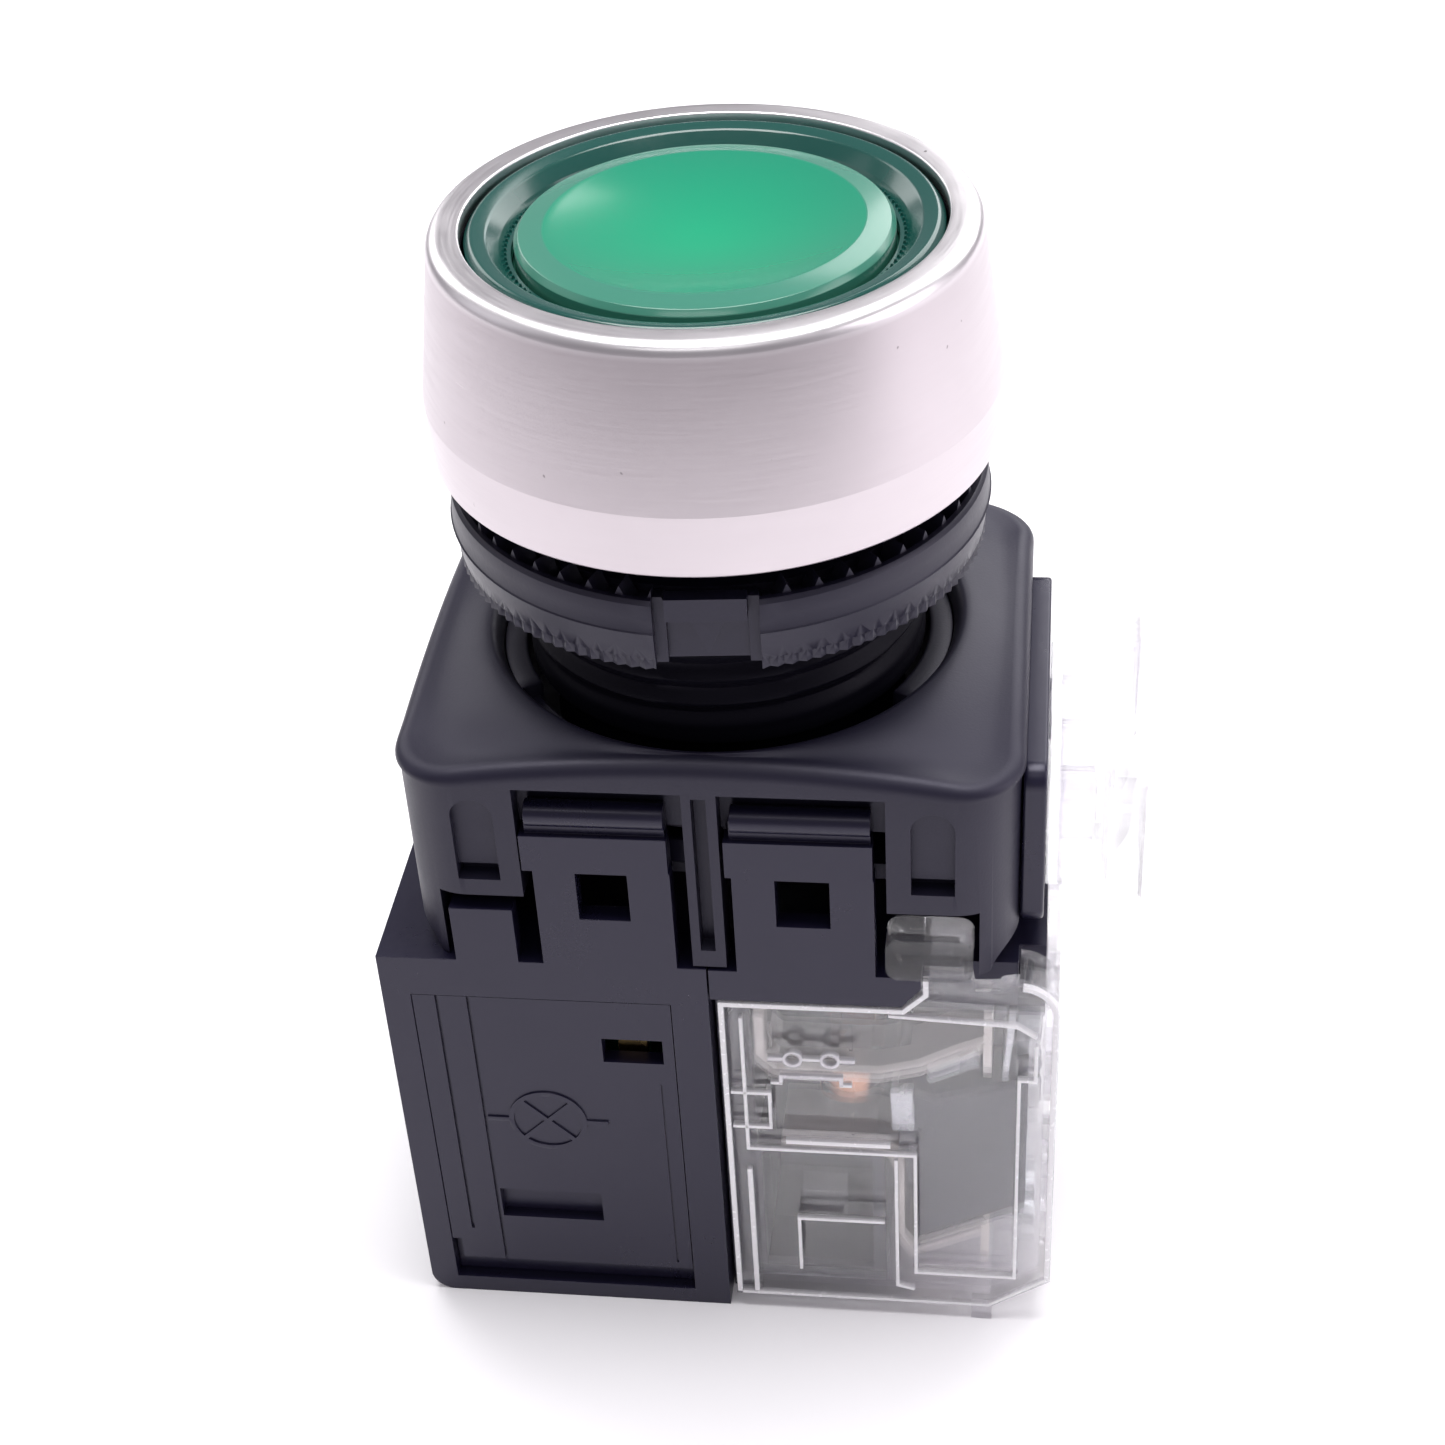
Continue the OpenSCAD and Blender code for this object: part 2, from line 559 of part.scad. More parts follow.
// ---- contact block ----
module contact_block_base() {
  x0 = -0.2;
  x1 = 18.1;
  front = -12.5;
  color(black) {
    difference() {
      union() {
        box(x0, x1, front, block_y - 0.1, 2, blocks_h - 0.05);
        // side wall down to the foot
        box(x0, 0.95, front, block_y - 0.1, 0, 3);
        // front strip above the clear cover
        upright(-block_y, front + 0.1)
          polygon([[x0, 25.3], [10.3, 25.3], [11.4, 26.65], [11.4, blocks_h - 0.05], [x0, blocks_h - 0.05]]);
        front_and_back() latch_tongue(1.4, 8.95, 1.06, 8.9, 3.7, 6.6);
      }
      // chamber of the moving contact, open to the front
      box(1.8, 10, front - 3, 12.6, 13, 24.3);
      // upper and lower terminal chambers and the channel for the lower strip
      upright(front - cut, 12.6) polygon([[9.9, 18], [12, 17.2], [16.4, 18.6], [19, 18.6], [19, 24.3],
        [9.9, 24.3]]);
      upright(front - cut, 12.6)
        polygon([[8.3, 13.2], [9.2, 12.3], [9.2, 1], [19, 1], [19, 8.8], [17.2, 8.6], [11.1, 5.2], [11.1,
          13.1]]);
      box(17.3, 19, front - cut, 12.6, 8, 19);
      // open compartment at the lower left
      box(2, 8.4, front - cut, -5, 2.8, 12.2);
      // lower right corner, and the seat of the clear cover's shoulder
      upright(-block_y - cut, block_y + cut) polygon([[15, 1], [19, 1], [19, 4.6], [15, 1.9]]);
      box(16.6, 19, front - cut, -11, 24.9, 28);
      // guide hole of the plunger and well of its spring
      translate([plunger_x, 0, 20]) cylinder(r = 1.35, h = 10, $fn = 48);
      translate([plunger_x, 0, 6]) cylinder(r = 1.75, h = 8, $fn = 48);
      // slot for the lamp feed strip
      box(2.8, 3.6, -1.5, 1.5, 24, 28);
    }
  }
}

// a thin upright rib standing on the inside of the clear front
module cover_rib(x0, x1, z0, z1, deep = 0.6) { box(x0, x1, -13.15, -13.15 + deep, z0, z1); }

module contact_block_cover() {
  front = -block_y;
  inner = -13.1;
  side_x = 18.9;
  back = block_y - 0.1;
  color(clear) {
    difference() {
      union() {
        upright(front, inner) difference() {
          union() {
            polygon([[0.15, 1.1], [15.4, 1.1], [side_x, 3.6], [side_x, 25], [17.2, 25], [16.9, 26.9],
              [14.3, 26.7], [14.15, 27.6],
              [11.5, 27.6], [11.5, 26.6], [10.35, 25.2], [0.15, 25.2]]);
            translate([side_x - 2.2, 25]) intersection() {
              circle(r = 2.2, $fn = 64);
              translate([-1, -0.2]) square(4);
            }
            translate([14.3, 0]) square([1.2, 2]);
          }
          translate([14.55, 28]) circle(r = 0.4, $fn = 32);
        }
        // hook tab that grips the body
        upright(front - 0.3, -12.3) plate_outline(9.5, 14.2, 27.55, 30.4, 0.8);
        // right side wall with its rounded shoulder, and the floor
        box(side_x - 0.7, side_x, inner - 0.2, back, 3.6, 25);
        upright(inner - 0.2, inner + 2) difference() {
          translate([side_x - 2.2, 25]) intersection() { circle(r = 2.2, $fn = 64); square(4); }
          translate([side_x - 2.2, 25]) circle(r = 1.5, $fn = 64);
        }
        box(1.05, 15.4, inner - 0.2, back, 1.1, 1.8);
        upright(inner - 0.2, back) polygon([[15.3, 1.1], [15.4, 1.1], [side_x, 3.6], [side_x, 4.4],
          [15.3, 1.8]]);
      }
      // holes for a screwdriver in the right side
      for (y = [-9, 9], z = terminal_zs) translate([17, y, z]) rotate([0, 90, 0]) cylinder(r = 2.1,
        h = 4, $fn = 48);
      // mouths for the wires, between the two screws
      for (y = [-9, 9], z = [10.3, 17.3]) box(17, 20, y - 1.7, y + 1.7, z - 1.5, z + 1.5);
    }
    // ribs that show as bright lines
    cover_rib(1.2, 1.6, 13.5, 24.2);
    cover_rib(1.2, 11.2, 13.5, 13.9);
    cover_rib(10.8, 11.2, 3.8, 13.9);
    cover_rib(10.8, 16.9, 3.6, 4);
    cover_rib(16.6, 17, 3.6, 20.2);
    cover_rib(16.6, 17.8, 19.9, 20.3);
    cover_rib(17.5, 17.9, 19.9, 22.8);
    cover_rib(0.3, 2.8, 18, 18.35);
    cover_rib(0.3, 2.8, 15.3, 15.65);
    cover_rib(1.2, 1.6, 0, 12);
    // small hook in the lower left compartment
    cover_rib(4.1, 6.7, 7.6, 8.2, 3);
    box(4.1, 6.7, -10.7, -10.1, 4.4, 8.2);
    // plain contact diagram in relief: two rings on a line, and a bridge below
    translate([0, front + 0.04, 0]) rotate([90, 0, 0]) linear_extrude(0.22) {
      for (x = [4.2, 6.3]) difference() {
        translate([x, 21]) circle(r = 0.55, $fn = 32);
        translate([x, 21]) circle(r = 0.35, $fn = 32);
      }
      translate([2.8, 20.9]) square([0.9, 0.2]);
      translate([6.8, 20.9]) square([0.9, 0.2]);
      translate([3.4, 19.6]) square([3.6, 0.2]);
      for (x = [3.4, 6.8]) translate([x, 19.2]) square([0.2, 0.5]);
      for (x = [2.9, 7.4]) {
        translate([x, 22]) square([0.2, 1.8]);
        translate([x, 15.4]) square([0.2, 2.2]);
      }
    }
  }
}

module contact_plunger() {
  color([0.35, 0.12, 0.1]) union() {
    translate([plunger_x, 0, 23]) cylinder(r = 1.25, h = leg_z - 0.1 - 23, $fn = 48);
    difference() {
      box(plunger_x - 1.6, plunger_x + 1.6, -3, 3, bridge_z - 1, 24);
      box(plunger_x - 1.05, plunger_x + 1.05, -4, 4, bridge_z - 0.05, bridge_z + 0.6);
    }
    translate([plunger_x, 0, bridge_z - 2.4]) cylinder(r = 0.8, h = 1.6, $fn = 32);
  }
}

module contact_bridge() {
  // springy copper bar along Y with a round contact at each end
  color(copper) union() {
    box(plunger_x - 1, plunger_x + 1, -10.5, 10.5, bridge_z, bridge_z + 0.4);
    for (y = [-10.4, 10.4]) translate([plunger_x, y, 16.7]) cylinder(r = 1.8, h = 1.75, $fn = 48);
  }
}

module contact_spring() { color(steel) translate([plunger_x, 0, 0]) coil(1.3, 0.2, 6.05, bridge_z - 1.05,
  6); }

// a bent strip drawn along its centre line in X and Z, with mitred corners
function across(a, b) = [a[1] - b[1], b[0] - a[0]] / norm(b - a);
function mitre(p, i) = let (into = max(i, 1), out = min(i, len(p) - 2),
  m = across(p[into - 1], p[into]) + across(p[out], p[out + 1])) m / (m * m);
module strip(points, thick) {
  last = len(points) - 1;
  polygon(concat([for (i = [0:last]) points[i] + mitre(points, i) * thick],
    [for (i = [last:-1:0]) points[i] - mitre(points, i) * thick]));
}

// a fixed contact's strip: narrow beside the plunger, wide from x_wide to its screw
module contact_strip(points, x_wide) {
  difference() {
    upright(-12.4, -5.8) strip(points, strip_t);
    box(-cut, x_wide, -8.6, -5.8 + cut, 0, blocks_h);
  }
}

module upper_fixed_contacts() {
  color([0.82, 0.78, 0.7]) front_and_back() union() {
    contact_strip([[2.2, 23.2], [2.2, 19.7], [3, 18.8], [8.9, 18.8], [11.2, 19.5], [13.2, 20.7], [15,
      21.6]], 10.6);
    box(14.75, 15.25, -12.2, -6, 19.2, 23.6);
  }
}

module lower_fixed_contacts() {
  color([0.82, 0.78, 0.7]) front_and_back() union() {
    contact_strip([[3.2, 13.35], [8.6, 13.35], [9.7, 12.6], [10, 11.5], [10, 5.8], [10.7, 4.5], [15,
      6.75]], 10.45);
    box(14.75, 15.25, -12.2, -6, 3.9, 7.1);
  }
}

module contact_terminal_screws() {
  color(steel) for (y = [-9, 9], z = terminal_zs) translate([17.9, y, z]) rotate([0, 90, 0]) screw_head();
}

module screw_head() {
  translate([0, 0, -1.3]) difference() {
    union() {
      cylinder(r = 1.9, h = 1.3, $fn = 48);
      translate([0, 0, -1.3]) cylinder(r = 1.2, h = 1.4, $fn = 32);
    }
    translate([-3, -0.35, 0.6]) cube([6, 0.7, 1]);
    translate([-0.35, -3, 0.6]) cube([0.7, 6, 1]);
  }
}

bezel();
head_barrel();
panel_gasket();
locking_ring();
lens_ring();
lens();
lens_diffuser();
button_carrier();
retaining_clip();
return_spring();
led_dome();
led_base();
lamp_socket();
lamp_feed_strips();
body_cap();
body_frame();
side_plate();
lock_lever();
lock_collar();
power_block_case();
power_block_cover();
supply_board();
dropper_resistor();
power_contact_strips();
power_terminal_screws();
contact_block_base();
contact_block_cover();
contact_plunger();
contact_bridge();
contact_spring();
upper_fixed_contacts();
lower_fixed_contacts();
contact_terminal_screws();
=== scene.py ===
"""Looks of the illuminated push button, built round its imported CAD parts. Metres, Z up."""

import json
import math

import bmesh
import bpy
from mathutils import Matrix, Vector


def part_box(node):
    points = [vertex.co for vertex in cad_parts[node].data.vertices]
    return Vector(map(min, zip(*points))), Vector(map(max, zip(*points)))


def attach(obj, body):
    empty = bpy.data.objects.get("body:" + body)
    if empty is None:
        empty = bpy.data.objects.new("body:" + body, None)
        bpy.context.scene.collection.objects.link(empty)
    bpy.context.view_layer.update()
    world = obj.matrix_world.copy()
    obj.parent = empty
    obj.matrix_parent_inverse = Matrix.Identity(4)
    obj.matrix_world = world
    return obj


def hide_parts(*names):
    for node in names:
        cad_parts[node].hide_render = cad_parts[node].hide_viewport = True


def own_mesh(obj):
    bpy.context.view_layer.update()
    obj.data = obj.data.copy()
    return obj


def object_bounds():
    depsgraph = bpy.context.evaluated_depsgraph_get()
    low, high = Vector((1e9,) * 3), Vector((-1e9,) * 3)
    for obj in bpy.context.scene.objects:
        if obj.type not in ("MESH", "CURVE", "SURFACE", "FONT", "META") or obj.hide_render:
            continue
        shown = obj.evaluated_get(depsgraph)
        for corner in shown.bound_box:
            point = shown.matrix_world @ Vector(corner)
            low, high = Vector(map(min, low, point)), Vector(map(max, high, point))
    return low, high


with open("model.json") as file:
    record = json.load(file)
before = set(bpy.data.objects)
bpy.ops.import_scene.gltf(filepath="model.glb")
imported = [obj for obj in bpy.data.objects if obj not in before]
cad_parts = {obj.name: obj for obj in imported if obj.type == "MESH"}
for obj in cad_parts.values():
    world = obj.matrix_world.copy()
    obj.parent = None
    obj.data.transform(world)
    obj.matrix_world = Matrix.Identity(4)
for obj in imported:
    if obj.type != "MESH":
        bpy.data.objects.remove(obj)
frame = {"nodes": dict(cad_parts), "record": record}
CAD_BOX = [list(corner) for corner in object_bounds()]
MM = 0.001


# ---- camera, floor and light ----
CAMERA_ANGLES = (8.883, 36.657, -3.705)   # azimuth, elevation and roll in degrees, found from the photograph
CAMERA_TARGET = Vector((-0.708, 0, 33.771)) * MM
CAMERA_DISTANCE = 143.98 * MM
LENS_LENGTH, SENSOR_WIDTH = 62.42, 36     # millimetres, as Blender takes them
CLIP_START = 0.005


def make_camera():
    """The photograph's viewpoint: a near view from the front, a little right and above."""
    azimuth, elevation, roll = (math.radians(a) for a in CAMERA_ANGLES)
    back = Vector((math.sin(azimuth) * math.cos(elevation), -math.cos(azimuth) * math.cos(elevation),
                   math.sin(elevation)))
    right = Vector((math.cos(azimuth), math.sin(azimuth), 0))
    up = right.cross(-back)
    right_rolled = math.cos(roll) * right + math.sin(roll) * up
    up_rolled = -math.sin(roll) * right + math.cos(roll) * up
    data = bpy.data.cameras.new("camera")
    data.lens = LENS_LENGTH
    data.sensor_width = SENSOR_WIDTH
    data.clip_start = CLIP_START
    camera = bpy.data.objects.new("camera", data)
    bpy.context.scene.collection.objects.link(camera)
    matrix = Matrix((right_rolled, up_rolled, back)).transposed().to_4x4()
    matrix.translation = CAMERA_TARGET + CAMERA_DISTANCE * back
    camera.matrix_world = matrix
    bpy.context.scene.camera = camera


WORLD_COLOUR, WORLD_STRENGTH = (0.97, 0.93, 1, 1), 0.30
FLOOR_SIZE = 3
WHITE = (1, 1, 1)
LIGHTS = [   # name, position, target, width and height, watts, colour
    ("top", (0.0, 0.03, 0.40), (0, 0.0, 0.0), (0.30, 0.22), 1.75, WHITE),
    ("right", (0.30, -0.02, 0.15), (0, 0, 0.04), (0.18, 0.24), 0.34, (1, 0.96, 1)),
    ("left", (-0.30, 0.0, 0.17), (0, 0, 0.04), (0.16, 0.22), 0.06, (0.98, 0.96, 1)),
    ("back_right", (0.17, 0.32, 0.25), (0, 0, 0.05), (0.32, 0.24), 0.75, WHITE),
    ("back_left", (-0.24, 0.24, 0.22), (0, 0, 0.05), (0.16, 0.20), 0.24, WHITE),
    ("front_strip", (0.0, -0.30, 0.42), (0, 0, 0.04), (0.30, 0.05), 0.14, WHITE),
]


def area_light(name, position, target, size, power, colour):
    """A rectangular lamp at position that faces target."""
    data = bpy.data.lights.new(name, "AREA")
    data.shape = "RECTANGLE"
    data.size, data.size_y = size
    data.energy = power
    data.color = colour
    light = bpy.data.objects.new(name, data)
    light.location = position
    light.rotation_mode = "QUATERNION"
    light.rotation_quaternion = (Vector(target) - Vector(position)).to_track_quat("-Z", "Y")
    bpy.context.scene.collection.objects.link(light)


def make_studio():
    """Pale surroundings, six soft lamps and a plain floor under the foot."""
    world = bpy.data.worlds.new("studio")
    bpy.context.scene.world = world
    world.use_nodes = True
    background = world.node_tree.nodes["Background"]
    background.inputs["Color"].default_value = WORLD_COLOUR
    background.inputs["Strength"].default_value = WORLD_STRENGTH
    for row in LIGHTS:
        area_light(*row)
    bpy.ops.mesh.primitive_plane_add(size=FLOOR_SIZE, location=(0, 0, CAD_BOX[0][2]))
    floor = bpy.context.object
    floor.name = "floor"
    floor.data.materials.append(plain_floor())
    scene = bpy.context.scene
    scene.view_settings.view_transform = "Standard"
    scene.view_settings.look = "None"


# ---- materials ----
class Nodes:
    """Short calls for building one material's node tree."""

    def __init__(self, name):
        self.material = bpy.data.materials.new(name)
        self.material.use_nodes = True
        self.tree = self.material.node_tree
        self.shader = self.tree.nodes["Principled BSDF"]
        self.coords = self.node("ShaderNodeTexCoord").outputs["Object"]

    def node(self, kind, **settings):
        node = self.tree.nodes.new(kind)
        for key, value in settings.items():
            setattr(node, key, value)
        return node

    def link(self, source, target):
        self.tree.links.new(source, target)

    def scaled(self, scale):
        """Object coordinates in metres, multiplied by scale along each axis."""
        mapping = self.node("ShaderNodeMapping")
        self.link(self.coords, mapping.inputs["Vector"])
        mapping.inputs["Scale"].default_value = scale
        return mapping.outputs["Vector"]

    def noise(self, size, detail=3, roughness=0.55, stretch=(1, 1, 1), vector=None):
        """Noise whose blobs are about size metres across, from 0 to 1."""
        noise = self.node("ShaderNodeTexNoise")
        noise.inputs["Detail"].default_value = detail
        noise.inputs["Roughness"].default_value = roughness
        if vector is None:
            vector = self.scaled(stretch)
        self.link(vector, noise.inputs["Vector"])
        noise.inputs["Scale"].default_value = 1 / size
        return noise.outputs["Fac"]

    def remap(self, value, low, high, to_low, to_high):
        """The value socket's range from low to high, stretched to the range from to_low to to_high."""
        node = self.node("ShaderNodeMapRange")
        for key, number in (("From Min", low), ("From Max", high), ("To Min", to_low), ("To Max", to_high)):
            node.inputs[key].default_value = number
        self.link(value, node.inputs["Value"])
        return node.outputs["Result"]

    def math(self, operation, a, b=None):
        node = self.node("ShaderNodeMath", operation=operation)
        for socket, value in zip(node.inputs, (a, b)):
            if value is None:
                continue
            if isinstance(value, (int, float)):
                socket.default_value = value
            else:
                self.link(value, socket)
        return node.outputs["Value"]

    def mix(self, factor, colour_a, colour_b):
        """One colour socket between two colours, or two sockets, by a factor socket."""
        node = self.node("ShaderNodeMix", data_type="RGBA")
        self.link(factor, node.inputs["Factor"])
        for key, colour in (("A", colour_a), ("B", colour_b)):
            socket = next(s for s in node.inputs if s.name == key and s.type == "RGBA")
            if isinstance(colour, tuple):
                socket.default_value = (*colour, 1)
            else:
                self.link(colour, socket)
        return next(s for s in node.outputs if s.type == "RGBA")

    def bump(self, height, distance):
        """Surface relief, distance metres high where the height socket is 1."""
        node = self.node("ShaderNodeBump")
        node.inputs["Distance"].default_value = distance
        node.inputs["Strength"].default_value = 1
        self.link(height, node.inputs["Height"])
        return node.outputs["Normal"]

    def set(self, **values):
        """Plain numbers and colours on the shader's own sockets."""
        for key, value in values.items():
            socket = self.shader.inputs[key.replace("_", " ")]
            socket.default_value = (*value, 1) if isinstance(value, tuple) else value

    def wire(self, **sockets):
        """Node outputs into the shader's own sockets."""
        for key, socket in sockets.items():
            self.link(socket, self.shader.inputs[key.replace("_", " ")])

    def height(self):
        """Height above the foot in metres."""
        split = self.node("ShaderNodeSeparateXYZ")
        self.link(self.coords, split.inputs["Vector"])
        return split.outputs[2]

    def radius(self):
        """Distance from the button's axis in metres."""
        split = self.node("ShaderNodeSeparateXYZ")
        self.link(self.coords, split.inputs["Vector"])
        x, y = split.outputs[0], split.outputs[1]
        return self.math("SQRT", self.math("ADD", self.math("MULTIPLY", x, x), self.math("MULTIPLY", y, y)))

    def polar(self, around, along):
        """Coordinates that run round the button's axis and up it: (angle x around, height x along, radius)."""
        split = self.node("ShaderNodeSeparateXYZ")
        self.link(self.coords, split.inputs["Vector"])
        x, y, z = split.outputs
        angle = self.math("ARCTAN2", y, x)
        radius = self.radius()
        joined = self.node("ShaderNodeCombineXYZ")
        self.link(self.math("MULTIPLY", self.math("COSINE", angle), around), joined.inputs["X"])
        self.link(self.math("MULTIPLY", self.math("SINE", angle), around), joined.inputs["Y"])
        self.link(self.math("ADD", self.math("MULTIPLY", z, along), self.math("MULTIPLY", radius, along)),
                  joined.inputs["Z"])
        return joined.outputs["Vector"]


def plain_floor():
    n = Nodes("floor_white")
    n.set(Base_Color=(0.97, 0.955, 0.975), Roughness=0.6, Specular_IOR_Level=0.2)
    return n.material


def moulded_plastic(name, colour, rough, grain, grain_height, dust=0.5, gloss=0.5, sheen_tint=WHITE):
    """Moulded plastic: fine grain, slow changes of gloss, and faint rubbed spots."""
    n = Nodes(name)
    fine = n.noise(grain, detail=2)
    slow = n.noise(9 * MM, detail=3)
    rubbed = n.remap(n.noise(2.2 * MM, detail=6, roughness=0.7), 0.62, 0.78, 0, dust)
    lighter = tuple(min(1, c * 1.6 + 0.012) for c in colour)
    n.wire(Base_Color=n.mix(rubbed, colour, lighter))
    n.wire(Roughness=n.remap(n.math("ADD", n.math("MULTIPLY", slow, 0.7), n.math("MULTIPLY", fine, 0.3)),
                             0.3, 0.7, rough - 0.06, rough + 0.07))
    n.wire(Normal=n.bump(fine, grain_height))
    n.set(IOR=1.49, Specular_IOR_Level=gloss, Specular_Tint=sheen_tint)
    return n.material


def brushed_bezel():
    """Satin aluminium turned on a lathe: fine rings, slow shade changes, a few dark specks, and a paler top rim
    that is a painted highlight.
    """
    n = Nodes("satin_aluminium")
    rings = n.noise(0.16 * MM, detail=4, vector=n.polar(0.0006, 1.0))
    cloud = n.noise(6 * MM, detail=3)
    speck = n.remap(n.noise(0.75 * MM, detail=2, roughness=0.4), 0.772, 0.80, 0, 1)
    clean = n.mix(cloud, (0.56, 0.51, 0.535), (0.62, 0.57, 0.595))
    # painted highlight: the top rim, above 64.7 mm, is made paler
    clean = n.mix(n.remap(n.height(), 64.7 * MM, 65.3 * MM, 0, 1), clean, (0.86, 0.83, 0.85))
    n.wire(Base_Color=n.mix(speck, clean, (0.30, 0.27, 0.28)))
    n.wire(Roughness=n.remap(n.math("ADD", n.math("MULTIPLY", rings, 0.6), n.math("MULTIPLY", cloud, 0.4)),
                             0.3, 0.7, 0.27, 0.40))
    n.wire(Normal=n.bump(rings, 0.0035 * MM))
    n.set(Metallic=1.0, Anisotropic=0.35)
    return n.material


def bright_metal(name, colour, rough, scratch=0.002, metallic=1.0):
    """Plated or rolled metal: tiny scratches and clouded gloss."""
    n = Nodes(name)
    scratches = n.noise(0.25 * MM, detail=5, roughness=0.65, stretch=(1, 0.12, 1))
    cloud = n.noise(3 * MM, detail=4)
    darker = tuple(c * 0.82 for c in colour)
    n.wire(Base_Color=n.mix(n.remap(cloud, 0.35, 0.7, 0, 1), colour, darker))
    n.wire(Roughness=n.remap(cloud, 0.3, 0.7, rough - 0.07, rough + 0.1))
    n.wire(Normal=n.bump(scratches, scratch * MM))
    n.set(Metallic=metallic)
    return n.material


def tinted_lens(name, colour, rim_shade, transmission, rough, border=None):
    """Translucent moulded lens: painted shade that darkens it away from the axis, with the lighter middle a
    painted sheen, and a polished skin with faint ripples.

    border is the colour of the bevelled edge outside the dish, a paler, washed green that is painted sheen."""
    n = Nodes(name)
    cloud = n.noise(6 * MM, detail=1)
    fine = n.noise(0.35 * MM, detail=3)
    radius = n.radius()
    # painted shade: darker from the axis out towards the dish's rim, with a little random cloud
    shade_towards_rim = n.math("ADD", n.remap(radius, 1 * MM, 8 * MM, 0, 0.85), n.math("MULTIPLY", cloud, 0.15))
    tint = n.mix(shade_towards_rim, colour, rim_shade)
    # painted sheen: the bevelled edge outside the dish is given a paler, washed green
    if border is not None:
        tint = n.mix(n.remap(radius, 8.05 * MM, 8.2 * MM, 0, 1), tint, border)
    n.wire(Base_Color=tint)
    n.wire(Roughness=n.remap(fine, 0.3, 0.7, rough, rough + 0.04))
    n.wire(Normal=n.bump(cloud, 0.004 * MM))
    n.set(IOR=1.49, Transmission_Weight=transmission, Coat_Weight=0.35, Coat_Roughness=0.14)
    return n.material


def clear_plastic():
    """Polished clear plastic, slightly rippled and faintly scuffed."""
    n = Nodes("clear_plastic")
    ripple = n.noise(3.5 * MM, detail=2)
    scuff = n.remap(n.noise(0.5 * MM, detail=6, roughness=0.7), 0.55, 0.75, 0, 1)
    n.wire(Roughness=n.remap(scuff, 0, 1, 0.02, 0.16))
    n.wire(Normal=n.bump(ripple, 0.06 * MM))
    n.set(Base_Color=(0.97, 0.955, 1.0), IOR=1.47, Transmission_Weight=0.93, Alpha=0.5)
    return n.material


def clear_edge():
    """Edges and relief of the clear moulding, painted near-white as a highlight where they gather light."""
    n = Nodes("clear_edge")
    fine = n.noise(0.3 * MM, detail=3)
    n.wire(Roughness=n.remap(fine, 0.3, 0.7, 0.16, 0.3))
    n.wire(Normal=n.bump(fine, 0.003 * MM))
    # painted highlight: near-white with little transmission, so the lines look lit
    n.set(Base_Color=(0.98, 0.965, 0.99), IOR=1.47, Transmission_Weight=0.15)
    return n.material


def frosted_dome():
    n = Nodes("frosted_dome")
    fine = n.noise(0.2 * MM, detail=3)
    n.wire(Roughness=n.remap(fine, 0.3, 0.7, 0.35, 0.5))
    n.wire(Normal=n.bump(fine, 0.004 * MM))
    n.set(Base_Color=(0.86, 0.93, 0.87), IOR=1.45, Transmission_Weight=0.6)
    return n.material


def board_laminate():
    """Lacquered board: glass weave and copper tracks that show through."""
    n = Nodes("board_laminate")
    weave = n.node("ShaderNodeTexBrick")
    n.link(n.scaled((1, 1, 1)), weave.inputs["Vector"])
    weave.inputs["Scale"].default_value = 1 / (3 * MM)
    weave.inputs["Color1"].default_value = (0.02, 0.13, 0.06, 1)
    weave.inputs["Color2"].default_value = (0.03, 0.17, 0.08, 1)
    weave.inputs["Mortar"].default_value = (0.05, 0.26, 0.12, 1)
    n.wire(Base_Color=weave.outputs["Color"])
    n.wire(Roughness=n.remap(n.noise(1 * MM), 0.3, 0.7, 0.25, 0.4))
    n.wire(Normal=n.bump(weave.outputs["Fac"], 0.02 * MM))
    return n.material


